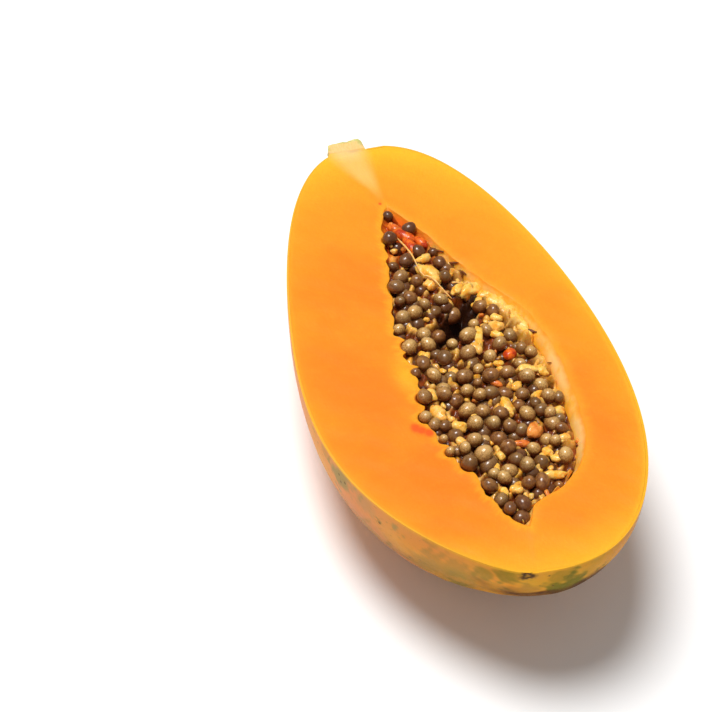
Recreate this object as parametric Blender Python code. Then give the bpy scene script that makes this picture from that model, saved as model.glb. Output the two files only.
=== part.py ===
# Half a ripe papaya, cut lengthwise from stem to blossom end.
# It lies on its rounded back with the cut face up.
#
# Fruit frame, in metres: X runs from the stem end to the blossom end, Y to the
# wider side, and Z out of the cut face, which is the plane Z = 0.
# World frame: the origin is the bottom centre of the whole part's box, +Z up.

import math
import random

import bmesh
import bpy
from mathutils import Euler, Matrix, Vector

# Driving dimensions
FRUIT_LENGTH = 0.180
WIDE_HALF_WIDTH = 0.0505
NARROW_HALF_WIDTH = 0.0447
BACK_DEPTH_RATIO = 0.95
WIDEST_BELOW_CUT = 0.0012
LOBE_COUNT = 5
LOBE_HEIGHT = 0.0006
GAP = 0.0003
WELD = 0.00001

# Shape of the rim on each side: where it is widest, and how blunt each end is
WIDE_PEAK = 1.35
NARROW_PEAK = 1.34
WIDE_BLUNTNESS = (0.27, 0.33)
NARROW_BLUNTNESS = (0.34, 0.68)

# Seed cavity in the cut face
CAVITY_START = 0.0285
CAVITY_END = 0.1630
CAVITY_HALF_WIDTH = 0.0235
CAVITY_PEAK = 1.70
CAVITY_BLUNTNESS = (0.47, 0.68)
CAVITY_TIP_SHIFT = 0.0030
CAVITY_SHIFT = 0.0115
CAVITY_SHIFT_PEAK = 1.5
CAVITY_SHIFT_BLUNTNESS = (0.7, 0.7)
CAVITY_DEPTH_RATIO = 0.92

# Stem end and blossom end
STEM_FLAT = 0.0010
STEM_CENTRE = -0.0022
STEM_RADIUS = 0.0056
STEM_FLARE = 0.0012
STEM_CHAMFER = 0.0007
STEM_HEIGHT = 0.0037
DIMPLE_DEPTH = 0.0012
DIMPLE_RADIUS = 0.0060
DIMPLE_BELOW_CUT = 0.0036

# Seeds, and the pulp that they stand in
SEED_RADIUS = 0.00245
SEED_SMALLEST = 0.9
SEED_SPACING = 0.0048
SEED_JITTER = 0.0005
SEED_FACET_GROWTH = 1.06
SEED_SHAPE = (1.0, 0.92, 0.98)
SEED_DRAW = 7
SEED_MIN_HALF_WIDTH = 0.0008
BED_LEVEL = -0.0012
BED_WALL_DROP = 0.0030
HOLLOW_CENTRE = (0.0785, 0.0100)
HOLLOW_SIZE = (0.0080, 0.0066)
HOLLOW_DEPTH = 0.0090
HOLLOW_BARE_SHARE = 0.72
PULP_BELOW_SEEDS = 0.0012
PULP_START = 0.0352
PULP_END = 0.1600

# How the half lies: nose-up angle, sideways roll and the fruit frame's place
REST_PITCH = math.radians(-4.5)
REST_ROLL = math.radians(4.5)
FRUIT_AT = (-0.0884, -0.0030, 0.0372)

# Facets
SKIN_STATIONS = 40
SKIN_SECTORS = 32
CAVITY_STATIONS = 32
CAVITY_SECTORS = 14
PULP_STATIONS = 20
PULP_SECTORS = 8
STEM_SECTORS = 20


# Shape rules

def smooth_step(u):
    return u * u * (3.0 - 2.0 * u)


# A sine hump over 0 to 1. The peak value above 1 moves it towards 1, and the
# power of the sine goes from one bluntness at the start to the other at the end.
def hump(t, peak, bluntness):
    u = min(max(t, 0.0), 1.0) ** peak
    blend = smooth_step(u)
    power = bluntness[0] * (1.0 - blend) + bluntness[1] * blend
    return max(math.sin(math.pi * u), 0.0) ** power


def rim_widths(x):
    t = x / FRUIT_LENGTH
    wide = WIDE_HALF_WIDTH * hump(t, WIDE_PEAK, WIDE_BLUNTNESS)
    narrow = NARROW_HALF_WIDTH * hump(t, NARROW_PEAK, NARROW_BLUNTNESS)
    return wide, narrow


# The section is the lower part of an ellipse whose widest line is a little
# below the cut. The fruit's soft lobes run along the back and fade at the rim.
def skin_point(x, angle):
    wide, narrow = rim_widths(x)
    half = (wide + narrow) / 2.0
    middle = (wide - narrow) / 2.0
    drop = WIDEST_BELOW_CUT * half / WIDE_HALF_WIDTH
    depth = BACK_DEPTH_RATIO * half
    start = math.asin(drop / depth) if depth > drop else 0.0
    turn = -start + angle * (math.pi + 2.0 * start) / math.pi
    lobe = LOBE_HEIGHT * math.cos(LOBE_COUNT * turn) * math.sin(angle) ** 2 * half / WIDE_HALF_WIDTH
    y = middle + (math.hypot(half, drop) + lobe) * math.cos(turn)
    z = -drop - (depth + lobe) * math.sin(turn)
    return Vector((x, y, z))


def cavity_half_width(x):
    t = (x - CAVITY_START) / (CAVITY_END - CAVITY_START)
    return CAVITY_HALF_WIDTH * hump(t, CAVITY_PEAK, CAVITY_BLUNTNESS)


def cavity_middle(x):
    t = (x - CAVITY_START) / (CAVITY_END - CAVITY_START)
    rise = hump(t, CAVITY_SHIFT_PEAK, CAVITY_SHIFT_BLUNTNESS)
    return CAVITY_TIP_SHIFT + (CAVITY_SHIFT - CAVITY_TIP_SHIFT) * rise


# The wall is a half ellipse across the cavity. The inset keeps the pulp clear.
def cavity_point(x, angle, inset=0.0):
    half = max(cavity_half_width(x) - inset, 0.0)
    depth = CAVITY_DEPTH_RATIO * half
    return Vector((x, cavity_middle(x) + half * math.cos(angle), -depth * math.sin(angle)))


# Height of the seeds' centres: level with the cut on the narrow side, lower at
# the wide wall, and sunk at the hollow among the seeds.
def bed_height(x, y):
    half = max(cavity_half_width(x), 0.001)
    across = (y - cavity_middle(x)) / half
    wall = BED_WALL_DROP * max(across, 0.0) ** 2 * half / CAVITY_HALF_WIDTH
    return BED_LEVEL - wall - HOLLOW_DEPTH * hollow_share(x, y)


# 1 in the middle of the hollow, fading smoothly to 0 around it
def hollow_share(x, y):
    away = math.hypot((x - HOLLOW_CENTRE[0]) / HOLLOW_SIZE[0], (y - HOLLOW_CENTRE[1]) / HOLLOW_SIZE[1])
    return math.exp(-away ** 2)


# Rows of seeds, staggered and jittered, wherever a seed clears the wall. The
# bottom of the hollow is bare.
def seed_places():
    draw = random.Random(SEED_DRAW)
    row_step = SEED_SPACING * math.sqrt(3.0) / 2.0
    rows = int((CAVITY_END - CAVITY_START) / row_step) + 1
    columns = int(2.0 * CAVITY_HALF_WIDTH / SEED_SPACING) + 4
    places = []
    for row in range(rows):
        for column in range(columns):
            x = CAVITY_START + (row + 0.5) * row_step + draw.uniform(-SEED_JITTER, SEED_JITTER)
            stagger = 0.5 * (row % 2) + column - columns / 2.0
            y = cavity_middle(x) + stagger * SEED_SPACING + draw.uniform(-SEED_JITTER, SEED_JITTER)
            radius = SEED_RADIUS * draw.uniform(SEED_SMALLEST, 1.0)
            turn = [draw.uniform(0, math.pi) for axis in "xyz"]
            bare = hollow_share(x, y) > HOLLOW_BARE_SHARE
            if not bare and seed_clears_wall(x, y, SEED_FACET_GROWTH * radius + GAP):
                places.append((Vector((x, y, bed_height(x, y))), radius, turn))
    return places


# A ring of points around the seed must all be inside the cavity's section
def seed_clears_wall(x, y, reach):
    z = bed_height(x, y)
    for step in range(12):
        angle = math.tau * step / 12
        px = x + reach * math.cos(angle)
        py = y + reach * math.sin(angle)
        half = cavity_half_width(px)
        if half < SEED_MIN_HALF_WIDTH:
            return False
        across = (py - cavity_middle(px)) / half
        below = z / (CAVITY_DEPTH_RATIO * half)
        if across * across + below * below > 1.0:
            return False
    return True


# Mesh helpers

def add_object(name, mesh_builder, material, parent):
    mesh = bpy.data.meshes.new(name)
    bm = bmesh.new()
    mesh_builder(bm)
    bmesh.ops.recalc_face_normals(bm, faces=bm.faces)
    bm.to_mesh(mesh)
    bm.free()
    mesh.shade_smooth()
    mesh.set_sharp_from_angle(angle=math.radians(40))
    mesh.materials.append(material)
    thing = bpy.data.objects.new(name, mesh)
    bpy.context.scene.collection.objects.link(thing)
    thing.parent = parent
    return thing


def add_material(name, colour, roughness):
    material = bpy.data.materials.new(name)
    material.use_nodes = True
    shader = material.node_tree.nodes["Principled BSDF"]
    shader.inputs["Base Color"].default_value = (*colour, 1.0)
    shader.inputs["Roughness"].default_value = roughness
    shader.inputs["Metallic"].default_value = 0.0
    return material


# Values from first to last, closer together at both ends
def eased_range(first, last, count):
    return [first + (last - first) * (1.0 - math.cos(math.pi * i / (count - 1))) / 2.0
            for i in range(count)]


def join_rows(bm, rows):
    for low, high in zip(rows, rows[1:]):
        for i in range(len(low) - 1):
            bm.faces.new((low[i], low[i + 1], high[i + 1], high[i]))


def close_tip(bm, row, tip):
    for i in range(len(row) - 1):
        bm.faces.new((row[i], row[i + 1], tip))


# Fruit: skin, cut face and cavity wall in one closed surface

def build_fruit(bm):
    stations = eased_range(STEM_FLAT, FRUIT_LENGTH, SKIN_STATIONS + 1)[:-1]
    angles = [math.pi * j / SKIN_SECTORS for j in range(SKIN_SECTORS + 1)]
    skin = [[bm.verts.new(skin_point(x, angle)) for angle in angles] for x in stations]
    tip = bm.verts.new((FRUIT_LENGTH, 0.0, 0.0))
    join_rows(bm, skin)
    close_tip(bm, skin[-1], tip)

    stations = eased_range(CAVITY_START, CAVITY_END, CAVITY_STATIONS + 2)
    angles = [math.pi * j / CAVITY_SECTORS for j in range(CAVITY_SECTORS + 1)]
    wall = [[bm.verts.new(cavity_point(x, angle)) for angle in angles] for x in stations[1:-1]]
    first = bm.verts.new((CAVITY_START, cavity_middle(CAVITY_START), 0.0))
    last = bm.verts.new((CAVITY_END, cavity_middle(CAVITY_END), 0.0))
    join_rows(bm, wall)
    close_tip(bm, wall[0], first)
    close_tip(bm, wall[-1], last)

    outer = [row[0] for row in skin] + [tip] + [row[-1] for row in reversed(skin)]
    inner = [first] + [row[0] for row in wall] + [last] + [row[-1] for row in reversed(wall)]
    edges = loop_edges(bm, outer) + loop_edges(bm, inner)
    bmesh.ops.triangle_fill(bm, use_beauty=True, use_dissolve=False, edges=edges)
    bm.faces.new(skin[0])
    press_dimple(bm)
    cut_flat_spot(bm)


def loop_edges(bm, loop):
    edges = []
    for a, b in zip(loop, loop[1:] + loop[:1]):
        edge = bm.edges.get((a, b))
        edges.append(edge if edge else bm.edges.new((a, b)))
    return edges


# The blossom end is pressed in a little, just under the rim
def press_dimple(bm):
    centre = Vector((FRUIT_LENGTH, 0.0, -DIMPLE_BELOW_CUT))
    below_cut = [vert for vert in bm.verts if vert.co.z < -WELD]
    for vert in below_cut:
        away = (vert.co - centre).length / DIMPLE_RADIUS
        vert.co.x -= DIMPLE_DEPTH * math.exp(-away ** 2)


# The back is cut flat where it rests, in the plane of the ground
def cut_flat_spot(bm):
    to_world = rest_matrix()
    to_fruit = to_world.inverted()
    up = to_fruit.to_3x3() @ Vector((0.0, 0.0, 1.0))
    parts = list(bm.verts) + list(bm.edges) + list(bm.faces)
    cut = bmesh.ops.bisect_plane(bm, geom=parts, plane_co=to_fruit.translation, plane_no=up,
                                 clear_inner=True, dist=0.1 * WELD)
    ring = [item for item in cut["geom_cut"] if isinstance(item, bmesh.types.BMEdge)]
    bmesh.ops.triangle_fill(bm, use_beauty=True, use_dissolve=False, edges=ring)


def rest_matrix():
    turn = Euler((REST_ROLL, REST_PITCH, 0.0)).to_matrix().to_4x4()
    return Matrix.Translation(FRUIT_AT) @ turn


# Stem: half of a short flared stub, cut with the fruit

def build_stem(bm):
    foot = STEM_FLAT - GAP
    top = foot - STEM_HEIGHT
    profile = [(foot, STEM_RADIUS + STEM_FLARE), (foot - STEM_FLARE, STEM_RADIUS),
               (top + STEM_CHAMFER, STEM_RADIUS), (top, STEM_RADIUS - STEM_CHAMFER)]
    rows = []
    for x, radius in profile:
        row = []
        for j in range(STEM_SECTORS + 1):
            angle = math.pi * j / STEM_SECTORS
            row.append(bm.verts.new((x, STEM_CENTRE + radius * math.cos(angle), -radius * math.sin(angle))))
        rows.append(row)
    join_rows(bm, rows)
    bm.faces.new(rows[0])
    bm.faces.new(rows[-1])
    bm.faces.new([row[0] for row in rows] + [row[-1] for row in reversed(rows)])


# Pulp: a smaller core that fills the cavity under the seeds

def build_pulp(bm):
    stations = eased_range(PULP_START, PULP_END, PULP_STATIONS)
    rows = [[bm.verts.new(point) for point in pulp_ring(x)] for x in stations]
    for low, high in zip(rows, rows[1:]):
        for i in range(len(low)):
            k = (i + 1) % len(low)
            bm.faces.new((low[i], low[k], high[k], high[i]))
    bm.faces.new(rows[0])
    bm.faces.new(rows[-1])


# One section of the pulp: along the wall below the seeds, then back under them
def pulp_ring(x):
    inset = 1.5 * GAP
    half = cavity_half_width(x) - inset
    middle = cavity_middle(x)
    ends = []
    for side in (1.0, -1.0):
        drop = PULP_BELOW_SEEDS - bed_height(x, middle + side * half)
        ends.append(math.asin(drop / (CAVITY_DEPTH_RATIO * half)))
    sweep = math.pi - ends[0] - ends[1]
    ring = [cavity_point(x, ends[0] + sweep * j / PULP_SECTORS, inset) for j in range(PULP_SECTORS + 1)]
    wide_y = ring[0].y
    narrow_y = ring[-1].y
    for j in range(1, PULP_SECTORS):
        y = narrow_y + (wide_y - narrow_y) * j / PULP_SECTORS
        ring.append(Vector((x, y, bed_height(x, y) - PULP_BELOW_SEEDS)))
    return ring


# Seeds: each stands half out of the pulp, and all are fused with it

def add_seeds(material, parent):
    body = add_object("seeds", build_pulp, material, parent)
    cluster = bpy.data.collections.new("seed_cluster")
    bpy.context.scene.collection.children.link(cluster)
    for place, radius, turn in seed_places():
        mesh = bpy.data.meshes.new("seed")
        bm = bmesh.new()
        bmesh.ops.create_icosphere(bm, subdivisions=1, radius=SEED_FACET_GROWTH * radius)
        bmesh.ops.scale(bm, vec=SEED_SHAPE, verts=bm.verts)
        bmesh.ops.rotate(bm, matrix=Euler(turn).to_matrix(), verts=bm.verts)
        bmesh.ops.translate(bm, vec=place, verts=bm.verts)
        bm.to_mesh(mesh)
        bm.free()
        seed = bpy.data.objects.new("seed", mesh)
        cluster.objects.link(seed)
        seed.parent = parent
    union = body.modifiers.new("join_seeds", "BOOLEAN")
    union.operation = "UNION"
    union.operand_type = "COLLECTION"
    union.collection = cluster
    union.solver = "EXACT"
    apply_modifier(body)
    for seed in list(cluster.objects):
        bpy.data.objects.remove(seed, do_unlink=True)
    bpy.data.collections.remove(cluster)


def apply_modifier(thing):
    bpy.context.view_layer.update()
    graph = bpy.context.evaluated_depsgraph_get()
    finished = bpy.data.meshes.new_from_object(thing.evaluated_get(graph))
    thing.modifiers.clear()
    thing.data = finished


def main():
    for thing in list(bpy.data.objects):
        bpy.data.objects.remove(thing, do_unlink=True)

    frame = bpy.data.objects.new("fruit_frame", None)
    bpy.context.scene.collection.objects.link(frame)
    frame.matrix_world = rest_matrix()

    flesh = add_material("papaya_flesh", (0.98, 0.33, 0.035), 0.45)
    stem = add_material("stem_tissue", (0.80, 0.62, 0.16), 0.60)
    seed = add_material("seed_coat", (0.17, 0.09, 0.045), 0.30)

    add_object("fruit_half", build_fruit, flesh, frame)
    add_object("stem_stub", build_stem, stem, frame)
    add_seeds(seed, frame)


main()
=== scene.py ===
import math

import bmesh
import bpy
import numpy as np
from mathutils import Matrix, Vector


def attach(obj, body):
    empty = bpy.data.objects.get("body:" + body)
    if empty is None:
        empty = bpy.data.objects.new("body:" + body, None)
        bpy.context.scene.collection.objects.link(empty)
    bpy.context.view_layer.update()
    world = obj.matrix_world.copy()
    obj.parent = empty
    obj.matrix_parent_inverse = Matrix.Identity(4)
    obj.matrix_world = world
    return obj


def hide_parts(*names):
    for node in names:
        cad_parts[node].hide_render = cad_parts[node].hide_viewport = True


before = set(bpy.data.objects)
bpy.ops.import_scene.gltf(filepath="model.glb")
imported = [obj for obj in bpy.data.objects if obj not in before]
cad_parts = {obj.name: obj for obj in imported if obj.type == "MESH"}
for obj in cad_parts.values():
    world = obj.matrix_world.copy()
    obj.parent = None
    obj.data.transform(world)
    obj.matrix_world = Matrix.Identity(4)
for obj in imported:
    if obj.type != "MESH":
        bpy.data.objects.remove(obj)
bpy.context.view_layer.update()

print("frame loaded")

# Everything is worked out in the fruit's own frame and then laid down:
# x from stem end to blossom end, y to the wider side, z out of the cut face.
# Lengths are in metres, masks that end in Mm are in millimetres.

fruitShape = {
    "length": 0.180,
    "wideHalf": 0.0505,
    "narrowHalf": 0.0447,
    "widePeak": 1.35,
    "narrowPeak": 1.34,
    "wideBlunt": (0.27, 0.33),
    "narrowBlunt": (0.34, 0.68),
    "depthRatio": 0.95,
    "widestBelowCut": 0.0012,
    "lobeCount": 5,
    "lobeHeight": 0.0006,
    "stemFlat": 0.0010,
    "dimplePlace": (0.180, 0.0, -0.0036),
    "dimpleDepth": 0.0008,
    "dimpleReach": 0.005,
    "pitch": -4.5,
    "roll": 4.5,
    "place": (-0.0884, -0.0030, 0.0372),
}

cavityShape = {
    "start": 0.0285,
    "end": 0.1630,
    "half": 0.0235,
    "depthRatio": 0.92,
}

# Where the rim of the cavity runs, as judged: x and y in millimetres from tip to tip
rimMarks = {
    "narrow": (
        (28.5, 3.0), (30.0, 1.6), (33.0, 0.4), (36.1, -0.9), (40.0, -1.7), (45.0, -2.4), (49.0, -3.4),
        (52.0, -4.9), (55.5, -4.6), (60.0, -6.2), (65.0, -8.2), (69.0, -7.6), (73.0, -9.0), (79.0, -10.4),
        (82.6, -11.8), (85.0, -8.8), (86.5, -7.4), (88.5, -9.4), (91.6, -12.0), (94.5, -10.2), (97.0, -7.9),
        (99.5, -10.2), (104.2, -10.8), (108.1, -8.6), (110.8, -10.4), (114.0, -12.2), (118.0, -13.4),
        (121.5, -12.4), (123.5, -11.2), (126.3, -12.0), (129.2, -9.6), (131.7, -10.2), (136.2, -7.9),
        (138.6, -6.6), (142.7, -5.3), (148.3, -4.6), (155.0, -2.9), (160.0, -0.2), (162.0, 1.6), (163.0, 3.0),
    ),
    "wide": (
        (28.5, 3.0), (31.0, 4.4), (34.0, 6.2), (37.3, 7.9), (42.7, 11.0), (49.9, 13.6), (56.1, 16.4),
        (63.1, 19.6), (70.5, 23.5), (75.4, 27.0), (81.9, 30.2), (89.9, 32.1), (97.5, 33.2), (105.2, 33.6),
        (113.5, 33.1), (121.6, 32.6), (131.4, 31.2), (137.1, 29.6), (143.9, 25.9), (148.4, 21.7),
        (152.4, 15.8), (153.8, 11.0), (154.8, 7.4), (157.9, 5.9), (159.9, 5.1), (161.6, 3.9), (163.0, 3.0),
    ),
    "softness": {"narrow": 0.5, "wide": 1.5},
}


def smoothStep(u):  # 3u^2 - 2u^3, held between 0 and 1
    u = np.clip(u, 0.0, 1.0)
    return u * u * (3.0 - 2.0 * u)


def fade(value, start, stop):  # 0 at start and 1 at stop, smooth between
    return smoothStep((value - start) / (stop - start))


def bell(value, middle, reach):  # exp(-((value - middle) / reach)^2)
    return np.exp(-((value - middle) / reach) ** 2)


def mixed(share, first, second):  # first where share is 0, second where it is 1
    return first * (1.0 - share) + second * share


def pointsOf(*axes):  # coordinates spread to one shape and stacked into points
    return np.stack(np.broadcast_arrays(*axes), axis=-1)


def axesOf(points):  # x, y and z of the points
    return np.moveaxis(points, -1, 0)


def lengthOf(vectors):  # root of the sum of squares along the last axis
    return np.linalg.norm(vectors, axis=-1)


def hump(t, peak, blunt):  # sin(pi t^peak) to a power that blends from blunt[0] to blunt[1]
    u = np.clip(t, 0.0, 1.0) ** peak
    return np.maximum(np.sin(np.pi * u), 0.0) ** mixed(smoothStep(u), *blunt)


def rimWidths(x):  # half width of the cut on the wide and the narrow side: a hump for each
    t = x / fruitShape["length"]
    return [fruitShape[side + "Half"] * hump(t, fruitShape[side + "Peak"], fruitShape[side + "Blunt"])
            for side in ("wide", "narrow")]


def rimAt(x, side):  # y of the rim on one side: the marks joined by lines, softened a little
    marks = np.array(rimMarks[side])
    steps = rimMarks["softness"][side] * np.linspace(-1.0, 1.0, 5)
    spread = [np.interp(x * 1000.0 + step, marks[:, 0], marks[:, 1]) for step in steps]
    return np.mean(spread, axis=0) / 1000.0


def cavityHalf(x):  # half of the gap between the two sides of the rim
    return (rimAt(x, "wide") - rimAt(x, "narrow")) / 2.0


def cavityMiddle(x):  # half way between the two sides of the rim
    return (rimAt(x, "wide") + rimAt(x, "narrow")) / 2.0


# Mesh helpers

def turnAbout(axis, degrees):
    return np.array(Matrix.Rotation(math.radians(degrees), 3, axis))


restTurn = turnAbout("Y", fruitShape["pitch"]) @ turnAbout("X", fruitShape["roll"])


def toGround(points):  # fruit frame to the frame of the laid-down half
    return points @ restTurn.T + np.array(fruitShape["place"])


# Soft noise from 0 centre: a sum of sine waves in random directions, each point at once
def softWaves(points, size, seed, count=7):
    draw = np.random.default_rng(seed)
    total = np.zeros(points.shape[:-1])
    for wave in range(count):
        direction = draw.normal(size=points.shape[-1])
        direction = direction / np.linalg.norm(direction) * draw.uniform(0.6, 1.5)
        total = total + np.sin(points @ direction * 2.0 * np.pi / size + draw.uniform(0, 2 * np.pi))
    return total / math.sqrt(count)


def cellsOf(shape):  # corners of each cell of one or more grids of points that close round their columns
    rows, columns = shape[-3:-1]
    r = np.arange(rows - 1)[:, None]
    c = np.arange(columns)[None]
    n = (c + 1) % columns
    one = pointsOf(r * columns + c, r * columns + n, (r + 1) * columns + n, (r + 1) * columns + c)
    starts = np.arange(math.prod(shape[:-3]))[:, None, None] * rows * columns
    return (one.reshape(-1, 4) + starts).reshape(-1, 4)


def addObject(name, data):
    added = bpy.data.objects.new(name, data)
    bpy.context.scene.collection.objects.link(added)
    return added


def addPiece(name, points, material, masks=None, replaced=(), crease=60.0):
    mesh = bpy.data.meshes.new(name)
    mesh.from_pydata(toGround(points).reshape(-1, 3).tolist(), [], cellsOf(points.shape).tolist())
    for key, values in {"fruitMm": points * 1000.0, **(masks or {})}.items():
        isVector = np.ndim(values) == points.ndim
        layer = mesh.attributes.new(key, "FLOAT_VECTOR" if isVector else "FLOAT", "POINT")
        whole = np.broadcast_to(values, points.shape if isVector else points.shape[:-1])
        layer.data.foreach_set("vector" if isVector else "value", whole.astype(np.float32).ravel())
    closeSeams(mesh)
    mesh.shade_smooth()
    mesh.set_sharp_from_angle(angle=math.radians(crease))
    mesh.materials.append(material)
    piece = addObject(name, mesh)
    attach(piece, "root")
    if replaced:
        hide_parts(*replaced)
    print("made", name, len(mesh.polygons), "faces")
    return piece


def closeSeams(mesh):  # joins seams and poles, drops empty faces and turns the rest outward
    bm = bmesh.new()
    bm.from_mesh(mesh)
    bmesh.ops.remove_doubles(bm, verts=bm.verts, dist=0.000004)
    bmesh.ops.dissolve_degenerate(bm, dist=0.0000005, edges=bm.edges)
    bmesh.ops.recalc_face_normals(bm, faces=bm.faces)
    bm.to_mesh(mesh)
    bm.free()


# Material helpers. They add to the tree at hand, and a value handed to them may be
# a number, a socket or the name of a mask of the mesh.

atHand = {"tree": None}


def newMaterial(name):
    material = bpy.data.materials.new(name)
    material.use_nodes = True
    atHand["tree"] = material.node_tree
    return material, material.node_tree.nodes["Principled BSDF"]


def setInputs(node, values):  # links what is a socket and sets what is a constant
    for key, value in values.items():
        if isinstance(value, str):
            value = readMesh(value, "Fac")
        if isinstance(value, bpy.types.NodeSocket):
            node.id_data.links.new(value, node.inputs[key])
        else:
            node.inputs[key].default_value = value


def addNode(kind, settings=None, inputs=None):
    node = atHand["tree"].nodes.new(kind)
    for key, value in (settings or {}).items():
        setattr(node, key, value)
    setInputs(node, inputs or {})
    return node


def readMesh(name="fruitMm", output="Vector"):
    return addNode("ShaderNodeAttribute", {"attribute_name": name}).outputs[output]


def remap(value, low, high, toLow=0.0, toHigh=1.0):  # smooth step from low to high
    node = addNode("ShaderNodeMapRange", {"interpolation_type": "SMOOTHSTEP"},
                   {"Value": value, "From Min": low, "From Max": high, "To Min": toLow, "To Max": toHigh})
    return node.outputs["Result"]


def calc(operation, first, second):
    return addNode("ShaderNodeMath", {"operation": operation}, {0: first, 1: second}).outputs[0]


def times(first, second):
    return calc("MULTIPLY", first, second)


def plus(first, second):
    return calc("ADD", first, second)


def blend(factor, *colours):  # the first colour where the factor is 0, the second where it is 1
    first, second = (tint if isinstance(tint, bpy.types.NodeSocket) else (*tint, 1.0) for tint in colours)
    node = addNode("ShaderNodeMix", {"data_type": "RGBA", "clamp_factor": True},
                   {"Factor": factor, 6: first, 7: second})
    return node.outputs[2]


def between(value, low, high, first, second):  # from one colour to another as value goes low to high
    return blend(remap(value, low, high), first, second)


def paint(colour, *layers):  # each layer is a factor and the colour that it lays over the last
    for factor, tint in layers:
        colour = blend(factor, colour, tint)
    return colour


# Soft noise at the place on the fruit, or at another place that is handed in
def noiseOf(scale, detail=3.0, roughness=0.6, stretch=(1.0, 1.0, 1.0), place=None):
    moved = addNode("ShaderNodeMapping", None, {"Vector": place or readMesh(), "Scale": stretch})
    noise = addNode("ShaderNodeTexNoise", None,
                    {"Vector": moved.outputs[0], "Scale": scale, "Detail": detail, "Roughness": roughness})
    return noise.outputs["Fac"]


# Shared effect: cell-like grain with a height for the bump and a mask for colour
def makeGrainGroup():
    tree = atHand["tree"] = bpy.data.node_groups.new("softGrain", "ShaderNodeTree")
    for name, direction, kind, value in (
            ("Place", "INPUT", "Vector", (0.0, 0.0, 0.0)), ("Cell size", "INPUT", "Float", 1.0),
            ("Contrast", "INPUT", "Float", 0.5), ("Mask", "OUTPUT", "Float", 0.0),
            ("Height", "OUTPUT", "Float", 0.0)):
        socket = tree.interface.new_socket(name=name, in_out=direction, socket_type="NodeSocket" + kind)
        socket.default_value = value
    inside = addNode("NodeGroupInput").outputs
    where = {"Vector": inside["Place"], "Scale": calc("DIVIDE", 1.0, inside["Cell size"])}
    cells = addNode("ShaderNodeTexVoronoi", {"feature": "SMOOTH_F1"}, {**where, "Smoothness": 0.6})
    cloud = addNode("ShaderNodeTexNoise", None, {**where, "Detail": 4.0}).outputs["Fac"]
    height = addNode("ShaderNodeMix", {"data_type": "FLOAT"},
                     {"Factor": 0.5, 2: cells.outputs["Distance"], 3: cloud})
    low = calc("SUBTRACT", 0.5, times(0.4, inside["Contrast"]))
    mask = remap(cloud, low, calc("SUBTRACT", 1.0, low))
    addNode("NodeGroupOutput", None, {"Mask": mask, "Height": height.outputs[0]})
    return tree


grainGroup = makeGrainGroup()


def grainOf(cellSize, contrast):
    node = addNode("ShaderNodeGroup", {"node_tree": grainGroup},
                   {"Place": readMesh(), "Cell size": cellSize, "Contrast": contrast})
    return node.outputs["Mask"], node.outputs["Height"]


def bumpOf(height, depthMm, strength=1.0):
    node = addNode("ShaderNodeBump", None,
                   {"Height": height, "Distance": depthMm / 1000.0, "Strength": strength})
    return node.outputs["Normal"]


# Cavity rim

rimLook = {
    "narrowWave": 0.0004,
    "wideWave": 0.00012,
    "wallRun": 0.0034,
    "wallReach": 0.0030,
}

loopCount = 900
loopTurn = 2.0 * np.pi * np.arange(loopCount) / loopCount
loopSide = np.where(loopTurn < np.pi, 1.0, -1.0)
loopEase = (1.0 - np.cos(loopTurn)) / 2.0
loopWide = fade(np.sin(loopTurn), -0.05, 0.30)


def cavityRim():  # rim points and their outward normals, all round: middle plus or minus half width
    x = cavityShape["start"] + (cavityShape["end"] - cavityShape["start"]) * loopEase
    rim = pointsOf(x, cavityMiddle(x) + loopSide * cavityHalf(x))
    along = np.roll(rim, -9, axis=0) - np.roll(rim, 9, axis=0)
    along = along / np.maximum(lengthOf(along), 1e-9)[:, None]
    normal = pointsOf(-along[:, 1], along[:, 0])
    wave = softWaves(rim, 0.009, 41) + 0.6 * softWaves(rim, 0.0035, 42)
    size = mixed(loopWide, rimLook["narrowWave"], rimLook["wideWave"])
    offset = size * wave * fade(cavityHalf(x), 0.001, 0.006)
    return rim + normal * offset[:, None], normal


def wallRun(depth, half):  # how far the wide wall slopes inward at a depth, easing off with depth
    return rimLook["wallRun"] * half / cavityShape["half"] * (1.0 - np.exp(-depth / rimLook["wallReach"]))


def wideWall(x, depth):  # y of the wide wall: the half ellipse less its slope
    half = cavityHalf(x)
    share = np.clip(depth / (cavityShape["depthRatio"] * np.maximum(half, 1e-6)), 0.0, 1.0)
    return cavityMiddle(x) + (half - wallRun(depth, half)) * np.sqrt(1.0 - share ** 2)


# Seeds

seedLook = {
    "radius": 0.00256,
    "shape": (1.12, 1.0, 0.96),
    "taper": 0.07,
    "dent": 0.045,
    "heightJitter": 0.0009,
    "closest": 0.75,
    "settleSteps": 40,
    "settlePush": (0.175, 0.175, 0.35),
    "sinkMost": 0.0016,
    "riseMost": 0.0004,
    "wallRoom": 0.75,
    "lowerShift": (0.0022, 0.0014, 0.0),
    "lowerSpread": 0.0008,
    "lowerDrop": 0.0027,
    "lowerRoom": 0.9,
    "around": 12,
    "rings": 7,
}

bedLook = {
    "level": -0.0008,
    "wallDrop": 0.0030,
    "hollowCentre": (0.0785, 0.0102),
    "hollowTurn": 131.6,
    "hollowSize": (0.0105, 0.0033),
    "hollowDepth": 0.0105,
    "lowestSeed": -0.0043,
}
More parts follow.
